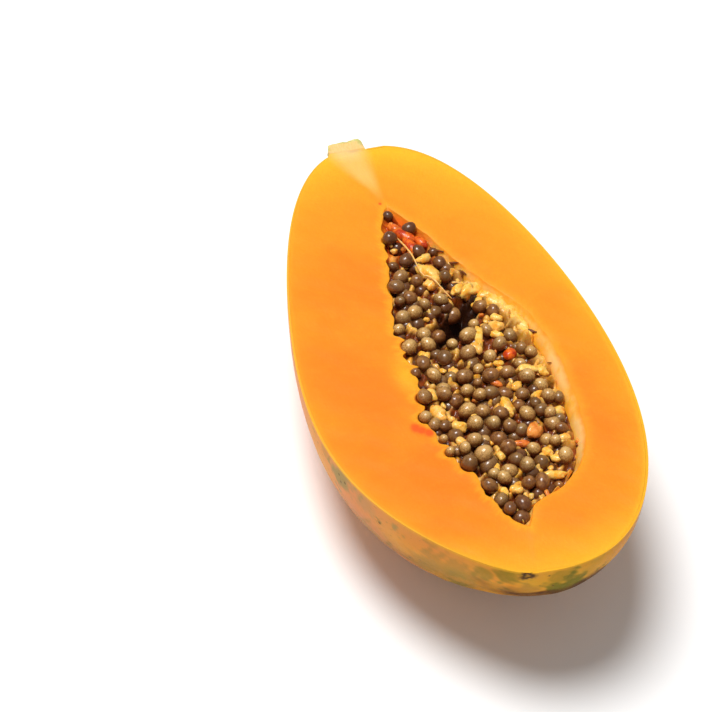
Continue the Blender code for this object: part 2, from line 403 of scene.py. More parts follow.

# Where each upper seed lies, as judged: x and y in millimetres, and its size
seedMarks = [
    (32.3, 2.4, 0.62), (43.3, -0.6, 0.95), (40.1, 6.7, 0.85), (49.2, 6.7, 0.85), (49.8, 14.0, 0.60),
    (53.8, -2.7, 0.65), (53.3, 1.4, 0.90), (55.5, 11.6, 0.80), (60.0, -2.3, 0.95), (57.6, 16.1, 0.90),
    (64.2, -4.8, 0.95), (62.0, 2.2, 0.85), (62.7, 11.0, 0.80), (60.9, 18.2, 0.60), (68.5, -1.8, 0.90),
    (69.5, -5.5, 0.65), (73.1, 1.1, 0.80), (71.5, 7.0, 0.85), (76.0, -6.3, 1.05), (75.5, -3.1, 0.95),
    (75.3, 3.6, 0.75), (74.4, 10.1, 1.00), (74.7, 18.7, 0.90), (80.0, -9.1, 0.80), (81.3, 14.2, 0.70),
    (78.6, 21.4, 0.90), (83.5, -2.5, 0.90), (82.3, 2.8, 0.95), (86.0, 16.6, 0.80), (88.2, -8.3, 1.00),
    (88.8, -2.6, 0.90), (87.7, 10.0, 1.00), (90.0, 22.7, 0.85), (90.3, 4.3, 0.75), (94.1, 17.7, 0.85),
    (95.3, -6.5, 1.00), (95.2, 0.2, 0.95), (95.6, 7.5, 1.00), (98.0, 13.5, 0.85), (95.7, 24.3, 0.75),
    (98.4, 26.5, 0.75), (99.0, -9.6, 0.60), (101.7, -5.2, 0.90), (102.5, -0.0, 0.90), (101.3, 8.9, 0.70),
    (101.6, 21.7, 0.75), (105.7, -3.5, 0.90), (103.8, 3.7, 1.00), (105.7, 11.1, 1.00), (104.6, 16.5, 0.90),
    (109.5, -10.5, 0.95), (109.5, -4.5, 0.95), (109.8, 2.3, 0.80), (107.4, 6.4, 0.55), (108.4, 21.5, 0.95),
    (111.4, -1.5, 0.95), (112.2, 6.0, 0.85), (112.3, 8.6, 0.90), (111.8, 13.3, 0.90), (114.7, 17.8, 0.85),
    (111.7, 25.0, 0.85), (116.9, -12.6, 0.80), (119.6, -10.7, 0.80), (116.8, 0.4, 1.00), (118.6, 4.1, 0.90),
    (118.0, 16.0, 0.75), (118.8, 20.3, 0.70), (116.0, 25.9, 0.90), (117.3, 28.1, 0.70), (120.6, -7.7, 0.75),
    (123.0, 0.5, 1.00), (120.7, 9.0, 0.85), (121.9, 16.8, 0.95), (121.8, 21.2, 0.80), (123.8, 23.1, 0.70),
    (126.5, -10.3, 0.55), (124.4, -6.0, 0.95), (124.1, 5.7, 0.95), (126.4, 10.2, 0.85), (127.9, 12.9, 0.85),
    (126.6, 23.6, 1.00), (131.5, -9.8, 0.60), (130.2, -7.2, 0.75), (131.2, -5.5, 0.75), (129.3, -2.1, 0.90),
    (128.7, 1.9, 0.80), (129.4, 5.6, 1.00), (132.2, 19.4, 0.90), (129.0, 24.7, 0.70), (135.4, -1.2, 1.10),
    (134.4, 6.6, 0.95), (136.1, 11.1, 0.55), (135.2, 14.2, 0.85), (134.2, 21.0, 0.70), (137.2, -6.0, 1.00),
    (138.6, 7.9, 0.85), (140.6, 14.8, 1.00), (140.1, 22.1, 0.95), (142.0, -0.0, 0.75), (143.7, 2.3, 0.85),
    (141.5, 4.5, 0.95), (141.3, 9.9, 0.95), (146.2, -2.7, 0.90), (147.4, 8.2, 0.85), (147.8, 12.3, 1.00),
    (149.0, 17.0, 0.55), (151.4, -1.2, 0.90), (155.9, -0.2, 0.80), (154.4, 4.3, 1.00), (158.4, 3.5, 1.00),
]


def hollowShare(x, y):  # 1 in the middle of the long hollow between the seeds, 0 away from it
    turn = math.radians(bedLook["hollowTurn"])
    right, up = x - bedLook["hollowCentre"][0], y - bedLook["hollowCentre"][1]
    length, width = bedLook["hollowSize"]
    along = right * math.cos(turn) + up * math.sin(turn)
    return bell(along, 0.0, length) * bell(up * math.cos(turn) - right * math.sin(turn), 0.0, width)


def bedHeight(x, y):  # level on the narrow side, lower towards the wide wall, sunk at the hollow
    half = np.maximum(cavityHalf(x), 0.001)
    across = np.maximum((y - cavityMiddle(x)) / half, 0.0)
    wall = bedLook["wallDrop"] * across ** 2 * half / cavityShape["half"]
    return bedLook["level"] - wall - bedLook["hollowDepth"] * hollowShare(x, y)


def settleSeeds():  # seeds on the bed, then pushed apart in small steps until they only touch
    marks = np.array(seedMarks)
    draw = np.random.default_rng(11)
    x, y = marks[:, 0] / 1000.0, marks[:, 1] / 1000.0
    radius = seedLook["radius"] * marks[:, 2]
    z = np.maximum(bedHeight(x, y), bedLook["lowestSeed"])
    place = pointsOf(x, y, z + draw.normal(0.0, seedLook["heightJitter"], len(x)))
    itself = np.eye(len(place))
    wanted = seedLook["closest"] * (radius[:, None] + radius[None])
    for step in range(seedLook["settleSteps"]):
        gap = place[:, None] - place[None]
        distance = lengthOf(gap) + itself
        overlap = np.maximum(wanted - distance, 0.0) * (1.0 - itself)
        push = (gap / distance[..., None] * overlap[..., None]).sum(axis=1)
        place = place + push * np.array(seedLook["settlePush"])
        lowest = np.maximum(bedHeight(place[:, 0], place[:, 1]), bedLook["lowestSeed"]) - seedLook["sinkMost"]
        place[:, 2] = np.clip(place[:, 2], lowest, seedLook["riseMost"])
        wall = wideWall(place[:, 0], -place[:, 2]) - seedLook["wallRoom"] * radius
        place[:, 1] = np.minimum(place[:, 1], wall)
    return place, radius, draw.uniform(0.0, 2.0 * np.pi, (len(place), 3))


def lowerSeeds(top):  # a second layer, half a space along and deeper, that shows in the gaps
    place, radius, turn = top
    draw = np.random.default_rng(5)
    shifted = place + np.array(seedLook["lowerShift"])
    shifted[:, :2] += draw.normal(0.0, seedLook["lowerSpread"], (len(place), 2))
    shifted[:, 2] -= seedLook["lowerDrop"] + draw.uniform(-0.0006, 0.0009, len(place))
    x, y, z = axesOf(shifted)
    half, need = cavityHalf(x), seedLook["lowerRoom"] * radius
    depth = cavityShape["depthRatio"] * np.maximum(half, 1e-6)
    room = np.sqrt(np.maximum(1.0 - (z / depth) ** 2, 0.0)) * half
    inside = (cavityMiddle(x) - y < room - need) & (y < wideWall(x, -z) - need) & (hollowShare(x, y) < 0.22)
    return shifted[inside], radius[inside], turn[inside] + 1.0


def turnsAbout(axis, angle):  # one turning matrix for each angle
    c, s = np.cos(angle), np.sin(angle)
    rows = {"X": ((1, 0, 0), (0, c, -s), (0, s, c)),
            "Y": ((c, 0, s), (0, 1, 0), (-s, 0, c)),
            "Z": ((c, -s, 0), (s, c, 0), (0, 0, 1))}[axis]
    return np.stack([pointsOf(*(value + 0.0 * c for value in row)) for row in rows], axis=-2)


def ballGrid(rings, around):  # unit ball as rings by around
    polar = np.pi * np.arange(rings)[:, None] / (rings - 1)
    spin = 2.0 * np.pi * np.arange(around)[None] / around
    return pointsOf(np.cos(polar), np.sin(polar) * np.cos(spin), np.sin(polar) * np.sin(spin))


def addSeeds(name, seeds, material, replaced=()):  # an egg for each seed, dented a little, all as one array
    place, radius, turn = seeds
    unit = ballGrid(seedLook["rings"], seedLook["around"])
    egg = unit * np.array(seedLook["shape"]) * (1.0 - seedLook["taper"] * unit[..., :1])
    turns = turnsAbout("X", turn[:, 0]) @ turnsAbout("Y", turn[:, 1]) @ turnsAbout("Z", turn[:, 2])
    body = np.einsum("nij,raj->nrai", turns, egg) * radius[:, None, None, None]
    dent = softWaves(body + place[:, None, None] * 3.0, 0.0048, 3, 5)
    body = body * (1.0 + seedLook["dent"] * dent[..., None])
    draw = np.random.default_rng(23)
    ends = 1.0 - fade(place[:, 0], 0.042, 0.076) + 0.7 * fade(place[:, 0], 0.142, 0.156)
    # the tone is random for each seed, lowered as painted shade for seeds that lie deeper, and lowered near
    # the cavity's ends
    toneAndShade = draw.uniform(0.0, 1.0, len(place)) + 60.0 * (place[:, 2] - bedLook["level"]) - 0.6 * ends
    # seedLightShade is 0 at a seed's underside and 1 at its top, and drives the painted light and shade
    masks = {"seedToneAndShade": toneAndShade[:, None, None], "endShare": ends[:, None, None],
             "seedGrey": draw.uniform(0.0, 1.0, len(place))[:, None, None],
             "seedLightShade": 0.5 + 0.5 * body[..., 2] / radius[:, None, None]}
    return addPiece(name, body + place[:, None, None], material, masks, replaced)


def makeSeedMaterial(name, paintedShade):  # mottled, with painted light on each seed's upper side and painted red-brown shade down its sides; darker near the cavity's ends; paintedShade darkens a whole layer as painted shade
    material, shader = newMaterial(name)
    mottle = noiseOf(0.6, 4.0)
    fine = noiseOf(2.4)
    brown = between(mottle, 0.34, 0.66, (0.15, 0.048, 0.009), (0.34, 0.142, 0.034))
    olive = between(fine, 0.35, 0.7, (0.33, 0.156, 0.033), (0.60, 0.335, 0.095))
    # painted light on the upper side of each seed, painted red-brown shade down its sides
    top = plus("seedLightShade", times(calc("SUBTRACT", fine, 0.5), 0.35))
    light = times(remap(top, 0.80, 1.02, 0.0, 0.75), remap("seedToneAndShade", 0.1, 0.9))
    colour = paint(between("seedToneAndShade", 0.25, 0.85, brown, olive),
                   (remap("seedGrey", 0.60, 0.95, 0.0, 0.6), (0.140, 0.070, 0.017)),
                   (light, (0.72, 0.44, 0.155)),
                   (remap(top, 0.86, 0.46, 0.0, 0.95), (0.150, 0.030, 0.006)),
                   (remap("endShare", 0.2, 1.0, 0.0, 0.75), (0.085, 0.022, 0.007)),
                   (paintedShade, (0.072, 0.014, 0.003)))
    setInputs(shader, {"Base Color": colour, "Normal": bumpOf(mottle, 0.16), "Roughness": 0.40,
                       "Specular IOR Level": 0.22, "Coat Weight": 0.9, "Coat Roughness": 0.17,
                       "Coat IOR": 1.45, "Subsurface Weight": 0.12,
                       "Subsurface Radius": (1.0, 0.45, 0.2), "Subsurface Scale": 0.0010})
    return material


topSeeds = settleSeeds()
print("seeds placed", len(topSeeds[0]))
seedCoats = addSeeds("seedCoats", topSeeds, makeSeedMaterial("wetSeedCoat", 0.0), ("seeds",))
# the lower layer is the same coat darkened as painted shade in the gaps between the upper seeds
deepSeeds = addSeeds("deepSeeds", lowerSeeds(topSeeds), makeSeedMaterial("shadedSeedCoat", 0.65))


# Flesh: back, cut face and cavity wall in one closed surface. Each column of the
# grid runs from the keel of the back, over the rim and the cut, to the keel of the cavity.

fleshLook = {
    "skinDepth": 0.00075,
    "backRows": 26,
    "faceRows": 46,
    "wallRows": 40,
    "seedRoom": 0.00012,
    "lipDepth": (0.0003, 0.0003),
    "lipReach": (0.0006, 0.0008),
    "faceWave": 0.00010,
    "folds": (0.00006, 0.00005),
    "stemMiddle": -0.0020,
    "stemHalf": 0.0064,
    "stemSink": 0.0013,
    "fibreRing": 48.0,
    "wedgeLength": 0.0265,
    "wedgeMiddle": (-0.0019, 0.0021),
    "wedgeHalf": (0.0062, 0.0012),
    "lineMiddle": (0.0030, -0.0015),
    "lineHalf": 0.0009,
    "stemYellow": 0.019,
    "blossomYellow": 0.52,
    "halo": (0.1005, 0.0068, -0.0132, 0.0034, 0.65),
    "palePatches": (0.1065, 0.1330),
    "paleHalf": 0.0070,
    "stains": (
        (120.2, -16.6, 2.0, 1.6), (121.4, -15.2, 1.7, 1.8), (122.8, -13.4, 1.9, 1.6), (27.1, 1.2, 0.6, 0.6),
    ),
}


def backSection(inset):  # x, half width and middle of the back round the loop, less an inset
    x = fruitShape["length"] * loopEase
    wide, narrow = rimWidths(x)
    half, middle = (wide + narrow) / 2.0, (wide - narrow) / 2.0
    share = half / (half + inset + 1e-9)
    return x, half * share, middle * share


# Points of the back: quarter is 0 at the rim and 1 at the keel, and each of its values
# gives one row, a quarter turn of an ellipse with soft lobes
def backPoints(quarter, inset):
    x, half, middle = backSection(inset)
    drop = fruitShape["widestBelowCut"] * half / fruitShape["wideHalf"]
    depth = np.maximum(fruitShape["depthRatio"] * half, 1e-9)
    start = np.arcsin(np.minimum(drop / depth, 1.0))
    quarter = quarter[:, None]
    turn = -start + quarter * (np.pi / 2.0 + start)
    lobeTurn = np.where(loopSide > 0, turn, np.pi - turn)
    lobe = fruitShape["lobeHeight"] * np.cos(fruitShape["lobeCount"] * lobeTurn)
    lobe = lobe * np.sin(quarter * np.pi / 2.0) ** 2 * half / fruitShape["wideHalf"]
    y = middle + loopSide * (np.hypot(half, drop) + lobe) * np.cos(turn)
    z = -drop - (depth + lobe) * np.sin(turn)
    ends = np.clip(x, fruitShape["stemFlat"] + inset, fruitShape["length"] - inset)
    points = pointsOf(ends, y, np.minimum(z, 0.0))
    away = lengthOf(points - np.array(fruitShape["dimplePlace"]))
    points[..., 0] -= fruitShape["dimpleDepth"] * bell(away, 0.0, fruitShape["dimpleReach"])
    return points


def stemShare(points):  # 1 where the stub stands on the stem end, 0 beyond it
    side = np.abs(points[..., 1] - fleshLook["stemMiddle"]) / fleshLook["stemHalf"]
    return (1.0 - fade(side, 0.86, 1.08)) * (1.0 - fade(points[..., 0], 0.0024, 0.0040))


# How far the seeds that sit in the wall push it out at a depth: each seed is a ball, and the
# wall moves along its normal to the far side of the widest ball that it meets
def seedPockets(rim, normal, depth, seeds):
    place, radius = seeds[:2]
    reach = radius * 1.05 + fleshLook["seedRoom"]
    below = np.reshape(depth, (-1, 1)) + place[None, :, 2]
    flatReach = np.sqrt(np.maximum(reach[None] ** 2 - below ** 2, 0.0))
    gap = place[None, :, :2] - rim[:, None]
    outward = (gap * normal[:, None]).sum(axis=-1)
    inside = outward ** 2 - (gap ** 2).sum(axis=-1) + flatReach ** 2
    far = outward + np.sqrt(np.maximum(inside, 0.0))
    return np.where((inside > 0.0) & (far > 0.0) & (flatReach > 0.0), far, 0.0).max(axis=1)


def buildFlesh(material):
    rim, normal = cavityRim()
    back = backPoints(np.linspace(1.0, 0.0, fleshLook["backRows"]), fleshLook["skinDepth"])
    back[-1, :, 0] -= fleshLook["stemSink"] * stemShare(back[-1])

    # The cut face runs straight from the outer rim to the notched rim of the cavity
    notch = seedPockets(rim, normal, 0.0, topSeeds) * (1.0 - loopWide)
    inner = pointsOf(*(rim + normal * notch[:, None]).T, 0.0)
    outer = back[-1]
    u = 1.0 - (1.0 - np.linspace(0.0, 1.0, fleshLook["faceRows"] + 1)[1:]) ** 1.6
    face = outer[None] + (inner - outer)[None] * u[:, None, None]
    toCavity, toRim = lengthOf(face - inner[None]), lengthOf(face - outer[None])
    lip, reach = (mixed(loopWide, *fleshLook[key]) for key in ("lipDepth", "lipReach"))
    face[..., 2] += fleshLook["faceWave"] * softWaves(face[..., :2], 0.011, 43) * fade(toRim, 0.0, 0.003)
    face[..., 2] -= lip * np.exp(-toCavity / reach)

    # The wall is a quarter ellipse on each side, with the seeds' sockets and soft folds
    share = np.linspace(0.0, 1.0, fleshLook["wallRows"] + 1)[1:, None] ** 1.3
    x = rim[:, 0]
    half, middle = cavityHalf(x), cavityMiddle(x)
    depth = cavityShape["depthRatio"] * half * np.sin(share * np.pi / 2.0)
    flat = np.cos(share * np.pi / 2.0)
    y = middle + loopSide * half * flat - loopWide * wallRun(depth, half) * flat
    wall = pointsOf(x, y, -depth - lip * (1.0 - share) ** 4)
    wall[..., :2] += (rim - pointsOf(x, middle + loopSide * half)) * (1.0 - share)[..., None]
    pocket = np.stack([seedPockets(row[:, :2], normal, deep, topSeeds) for row, deep in zip(wall, depth)])
    pocket = pocket * (1.0 - loopWide) * fade(1.0 - share, 0.0, 0.5)
    place = pointsOf(x, depth)
    large, small = fleshLook["folds"]
    fold = large * softWaves(place, 0.0050, 44) + small * softWaves(place, 0.0017, 45)
    wall[..., :2] += normal * (pocket + fold * loopWide * fade(depth, 0.0, 0.0015))[..., None]

    points = np.concatenate([back, face, wall])
    far = np.full(back.shape[:2], 30.0)
    rimMm = np.concatenate([0 * far, toRim * 1000.0, 30.0 + 0 * depth])
    cavityMm = np.concatenate([far, toCavity * 1000.0, wall[..., 2] * 1000.0])
    ring = fleshLook["fibreRing"]
    fibreMm = pointsOf(ring * np.cos(loopTurn), ring * np.sin(loopTurn),
                       0.12 * (rimMm + np.maximum(-cavityMm, 0.0)))
    masks = {"rimMm": rimMm, "cavityMm": cavityMm, "fibreMm": fibreMm, "wideShare": loopWide,
             "socketShare": fade(notch, 0.0008, 0.0026) * (1.0 - loopWide),
             "stemTissue": stemTissue(points), "blossomLine": blossomLine(points),
             "yellowShare": fleshYellow(points, rimMm), "stainShare": fleshStains(points),
             "tipShare": 1.0 - fade(points[..., 0], 0.038, 0.052), "paleShare": wallPale(points)}
    return addPiece("papayaFlesh", points, material, masks, ("fruit_half",), 50.0)


def stemTissue(points):  # pale wedge that runs from the stub towards the cavity and narrows
    x, y = axesOf(points)[:2]
    along = fade(x, 0.0, fleshLook["wedgeLength"])
    off = np.abs(y - mixed(along, *fleshLook["wedgeMiddle"])) / mixed(along, *fleshLook["wedgeHalf"])
    return fade(1.35 - off, 0.0, 1.1) * (1.0 - fade(x, 0.012, 0.0280))


def blossomLine(points):  # faint line from the cavity's end towards the blossom scar
    x, y = axesOf(points)[:2]
    share = np.clip((x - cavityShape["end"]) / (fruitShape["length"] - cavityShape["end"]), 0, 1)
    near = bell(y, mixed(share, *fleshLook["lineMiddle"]), fleshLook["lineHalf"])
    return near * fade(x, 0.160, 0.165) * (1.0 - fade(x, 0.172, 0.179))


def fleshYellow(points, rimMm):  # paler yellow towards the stem, the blossom end and the skin
    x, y = axesOf(points)[:2]
    toWide = fade(y, 0.0, 0.030)
    ends = np.exp(-x / fleshLook["stemYellow"]) + fleshLook["blossomYellow"] * fade(x, 0.158, 0.179)
    rim = (0.20 + 0.18 * toWide) * np.exp(-rimMm / 5.0)
    broad = 0.16 * toWide * (1.0 - fade(x, 0.070, 0.130))
    along, length, side, width, most = fleshLook["halo"]
    return ends + rim + broad + most * bell(x, along, length) * bell(y, side, width)


def wallPale(points):  # two pale patches high on the wide wall, with soft ends
    along = sum(bell(points[..., 0], place, fleshLook["paleHalf"]) for place in fleshLook["palePatches"])
    ragged = 1.0 + 0.4 * softWaves(points, 0.004, 46)
    return np.clip(1.3 * along * ragged, 0.0, 1.0) * (1.0 - fade(-points[..., 2], 0.0018, 0.0060))


def fleshStains(points):  # red spots beside the cavity: the strongest of their bells
    along, side = axesOf(points * 1000.0)[:2]
    return np.max([bell(along, x, length) * bell(side, y, width)
                   for x, y, length, width in fleshLook["stains"]], axis=0)


def makeFleshMaterial():  # orange flesh with fibres, pale lining on the wide wall, painted red-brown shade in the seed sockets on the other, and painted shade deeper down the wall
    material, shader = newMaterial("moistFlesh")
    cloud = noiseOf(0.035, 3.0, 0.5)
    fibre = noiseOf(0.9, 4.0, 0.65, place=readMesh("fibreMm"))
    patch = noiseOf(0.30)
    grainMask, grainHeight = grainOf(1.1, 0.6)

    ripe = plus(cloud, times("wideShare", 0.10))
    ragged = plus("cavityMm", times(calc("SUBTRACT", fibre, 0.5), 5.0))
    beside = times(remap(ragged, 3.6, 0.0), remap("wideShare", 0.0, 1.0, 0.60, 0.28))
    paleEdge = times(remap("rimMm", 1.6, 0.1), remap("wideShare", 0.0, 1.0, 0.18, 0.55))
    tissue = between("rimMm", 0.0, 7.0, (0.94, 0.58, 0.220), (0.93, 0.49, 0.125))
    flesh = between(ripe, 0.40, 0.68, (0.88, 0.212, 0.013), (0.90, 0.252, 0.014))
    flesh = paint(flesh,
                  ("yellowShare", (0.93, 0.47, 0.022)),
                  (remap(fibre, 0.5, 0.8, 0.0, 0.18), (0.92, 0.35, 0.020)),
                  (times(grainMask, 0.08), (0.80, 0.16, 0.006)),
                  (beside, (0.94, 0.42, 0.024)),
                  (paleEdge, (0.93, 0.44, 0.022)))
    flesh = blend(times("stemTissue", 0.92), flesh, tissue)
    flesh = paint(flesh,
                  (remap("stainShare", 0.05, 0.85), (0.93, 0.110, 0.014)),
                  (times("blossomLine", 0.16), (0.80, 0.30, 0.06)))
    pale = paint(between(patch, 0.42, 0.60, (0.95, 0.50, 0.110), (0.94, 0.44, 0.045)),
                 (remap("cavityMm", -2.0, -4.5), (0.92, 0.40, 0.020)),
                 ("paleShare", (0.95, 0.56, 0.190)),
                 ("tipShare", (0.88, 0.17, 0.012)))
    # painted shade: the narrow side's lining is dark red-brown where the seeds sit in it, clouded with flesh
    # orange
    socketShade = between(fibre, 0.40, 0.66, (0.50, 0.065, 0.007), (0.88, 0.26, 0.014))
    lining = blend("wideShare", socketShade, pale)
    upper = remap(plus("cavityMm", times(patch, 1.6)), 0.9, -1.2)
    # painted shade along the notched rim, under the seeds
    notchShade = times("socketShare", remap("cavityMm", 0.7, 0.0, 0.0, 0.75))
    # the last layer below darkens the wall deeper in the cavity as painted shade
    colour = paint(blend(upper, flesh, lining),
                   (notchShade, (0.50, 0.070, 0.008)),
                   (remap("cavityMm", -4.0, -8.0), (0.22, 0.045, 0.008)))
    relief = plus(grainHeight, times(fibre, 0.6))
    setInputs(shader, {"Base Color": colour, "Roughness": remap(grainHeight, 0.2, 0.8, 0.40, 0.55),
                       "Normal": bumpOf(relief, 0.10, 0.8), "Specular IOR Level": 0.15,
                       "Coat Weight": 0.03, "Coat Roughness": 0.25, "Subsurface Weight": 0.25,
                       "Subsurface Radius": (1.0, 0.30, 0.06), "Subsurface Scale": 0.003})
    return material


papayaFlesh = buildFlesh(makeFleshMaterial())


# Skin: a thin closed shell over the back, whose cut edge shows round the face

skinLook = {
    "thickness": 0.0007,
    "rows": 64,
    "innerStep": 4,
    "wave": 0.00022,
    "scar": (-0.0029, -0.0015),
    "scarSize": 0.0018,
    "rimDip": 0.0007,
}

# Marked patches: x, y, z and radius in millimetres, then how green, how grey and how brown
skinMarks = (
    (130.5, -41.5, -3.0, 5.0, 0.2, 0.85, 0.0), (138.0, -34.0, -20.0, 8.0, 0.35, 0.2, 0.0),
    (141.0, -38.0, -3.0, 4.0, 0.0, 0.35, 0.0), (151.0, -32.5, -3.7, 1.3, 0.1, 0.7, 0.3),
    (166.0, -20.0, -12.0, 10.0, 0.15, 0.10, 0.45), (160.0, -26.0, -16.0, 8.0, 0.1, 0.2, 0.35),
    (176.6, -8.5, -2.5, 4.5, 0.75, 0.15, 0.0), (178.0, -3.0, -10.0, 4.5, 0.1, 0.0, 0.55),
    (172.8, -12.5, -5.0, 3.5, 0.55, 0.2, 0.0), (178.6, 10.5, -10.5, 6.5, 1.0, 0.0, 0.1),
    (179.4, 6.5, -3.5, 4.0, 0.5, 0.0, 0.1), (178.3, 15.0, -6.0, 4.0, 0.15, 0.0, 0.10),
    (120.7, -43.8, -1.1, 3.0, 0.15, 0.0, 0.2),
)


def buildSkin(material):  # the back, and a thickness inside it the back again with fewer rows
    quarter = np.linspace(1.0, 0.0, skinLook["rows"])
    outside = backPoints(quarter, 0.0)
    inside = backPoints(quarter[::-1][::skinLook["innerStep"]], skinLook["thickness"])
    wave = softWaves(outside, 0.024, 61) + 0.5 * softWaves(outside, 0.009, 62)
    outside[..., 2] -= skinLook["wave"] * wave * fade(1.0 - quarter, 1.0, 0.9)[:, None]
    points = np.concatenate([outside, inside])
    points[..., 2] -= skinLook["rimDip"] * stemShare(points) * fade(points[..., 2], -0.004, 0.0)
    points = layFlat(points)
    masks = {"greenShare": greenShare(points), "blushShare": blushShare(points),
             "scarShare": scarShare(points), "paintedLowShade": paintedLowShade(points),
             "edgeShare": fade(points[..., 2], -0.0011, -0.0003),
             **dict(zip(("markGreen", "markGrey", "markBrown"), patchShares(points)))}
    return addPiece("papayaSkin", points, material, masks, ("fruit_half",), 40.0)


def layFlat(points):  # the lowest part settles on the ground
    ground = toGround(points)
    ground[..., 2] = np.maximum(ground[..., 2], 0.0)
    return (ground - np.array(fruitShape["place"])) @ restTurn


def patchShares(points):  # how strongly each marked patch covers a point, with ragged edges
    ragged = 1.0 + 0.30 * softWaves(points, 0.0070, 74) + 0.22 * softWaves(points, 0.0026, 75)
    shares = np.zeros((3,) + points.shape[:-1])
    for mark in np.array(skinMarks):
        away = lengthOf(points * 1000.0 - mark[:3]) / mark[3] * ragged
        shares = np.maximum(shares, mark[4:, None, None] * (1.0 - fade(away, 0.55, 1.25)))
    return shares


def scarShare(points):  # small dry mark of the blossom: a ragged three-cornered ring with a paler middle
    across, down = points[..., 1] - skinLook["scar"][0], points[..., 2] - skinLook["scar"][1]
    corner = 1.0 + 0.22 * np.cos(3.0 * np.arctan2(down, across) + 0.6) + 0.10 * softWaves(points, 0.0012, 76)
    away = np.hypot(across, down) / (skinLook["scarSize"] * corner)
    away = away + 9.0 * (1.0 - fade(points[..., 0], 0.158, 0.162))
    return bell(np.maximum(away - 0.66, -0.42), 0.0, 0.50)


def paintedLowShade(points):  # painted shade: browner and darker low down, most of all under the blossom end
    x, z = points[..., 0], points[..., 2]
    ragged = z + 0.0014 * softWaves(points, 0.0080, 77)
    side = 0.45 * fade(z, -0.007, -0.018) * fade(x, 0.100, 0.160)
    tip = fade(ragged, -0.0080, -0.0120) * fade(x, 0.1675, 0.1745) * (1.0 - fade(z, -0.018, -0.026))
    return np.maximum(side, tip)


def greenShare(points):  # unripe green lingers at the stem end and in cloudy patches
    cloud = softWaves(points, 0.030, 71) + 0.7 * softWaves(points, 0.012, 72)
    ends = 1.5 * np.exp(-points[..., 0] / 0.022) + 0.45 * fade(points[..., 0], 0.135, 0.172)
    return fade(cloud * 0.55 + ends, 0.55, 1.55)


def blushShare(points):  # pinkish bloom, strongest low on the narrow side
    return fade(-points[..., 1], 0.004, 0.030) * fade(softWaves(points, 0.045, 73), -1.6, 0.4)


def makeSkinMaterial():  # yellow-orange with clouds of green and brown, small spots, the dry scar, and painted shade low down
    material, shader = newMaterial("ripeSkin")
    cloud = noiseOf(0.045, 4.0, 0.55)
    patch = noiseOf(0.16, 5.0, 0.65, (0.6, 1.0, 1.0))
    fleck = noiseOf(0.9, 3.0, 0.7, (0.55, 1.0, 1.0))
    grainMask, grainHeight = grainOf(0.8, 0.7)
    spots = addNode("ShaderNodeTexVoronoi", {"feature": "F1"}, {"Vector": readMesh(), "Scale": 0.30}).outputs
    spotPick = addNode("ShaderNodeSeparateColor", None, {"Color": spots["Color"]}).outputs[0]

    thin = remap(patch, 0.25, 0.55, 0.65, 1.0)
    bruise = times(remap(patch, 0.58, 0.72, 0.0, 0.75), remap(cloud, 0.42, 0.56))
    spotted = times(remap(spots["Distance"], 0.19, 0.10), remap(spotPick, 0.50, 0.55))
    colour = between(cloud, 0.35, 0.65, (0.82, 0.30, 0.018), (0.86, 0.40, 0.028))
    colour = paint(colour,
                   (times("blushShare", 0.85), (0.78, 0.27, 0.100)),
                   (times("greenShare", remap(patch, 0.34, 0.60)), (0.30, 0.27, 0.014)),
                   (bruise, (0.20, 0.175, 0.035)),
                   (times("markBrown", thin), (0.46, 0.205, 0.034)),
                   (times("markGrey", thin), (0.40, 0.29, 0.105)),
                   (times("markGreen", thin), (0.22, 0.175, 0.006)),
                   (remap(fleck, 0.60, 0.74, 0.0, 0.45), (0.38, 0.19, 0.035)),
                   # painted shade: dark brown low down on the skin
                   (times("paintedLowShade", remap(patch, 0.30, 0.60, 0.75, 1.0)), (0.105, 0.034, 0.003)),
                   (times(spotted, 0.8), (0.13, 0.055, 0.015)),
                   (times("edgeShare", 0.75), (0.92, 0.44, 0.025)),
                   (times("scarShare", 0.95), (0.045, 0.022, 0.010)))
    relief = plus(times(grainHeight, 0.5), times(spotted, -0.6))
    relief = plus(relief, times("scarShare", 3.0))
    setInputs(shader, {"Base Color": colour, "Roughness": remap(grainMask, 0.0, 1.0, 0.38, 0.52),
                       "Normal": bumpOf(relief, 0.08, 0.7), "Specular IOR Level": 0.05,
                       "Coat Weight": 0.015, "Coat Roughness": 0.3, "Subsurface Weight": 0.10,
                       "Subsurface Radius": (1.0, 0.4, 0.1), "Subsurface Scale": 0.002})
    return material


papayaSkin = buildSkin(makeSkinMaterial())


# Pulp: the soft bed between and under the seeds, lumps that stand up between
# them, and threads

pulpLook = {
    "stations": 260,
    "acrossPoints": 110,
    "underPoints": 24,
    "below": 0.0017,
    "start": 0.0325,
    "end": 0.1610,
    "inset": 0.00012,
    "wave": 0.0010,
    "tongueRise": 0.0048,
    "tonguePlace": (0.076, 0.020),
    "redPlace": (0.041, 0.009),
    "lumpLift": -0.0003,
    "lumpSize": (0.88, 1.22, 1.05),
    "lumpRings": 15,
    "lumpAround": 18,
    "crumbs": 90,
    "crumbSize": (0.0005, 0.0011),
    "crumbRings": 7,
    "crumbAround": 9,
}

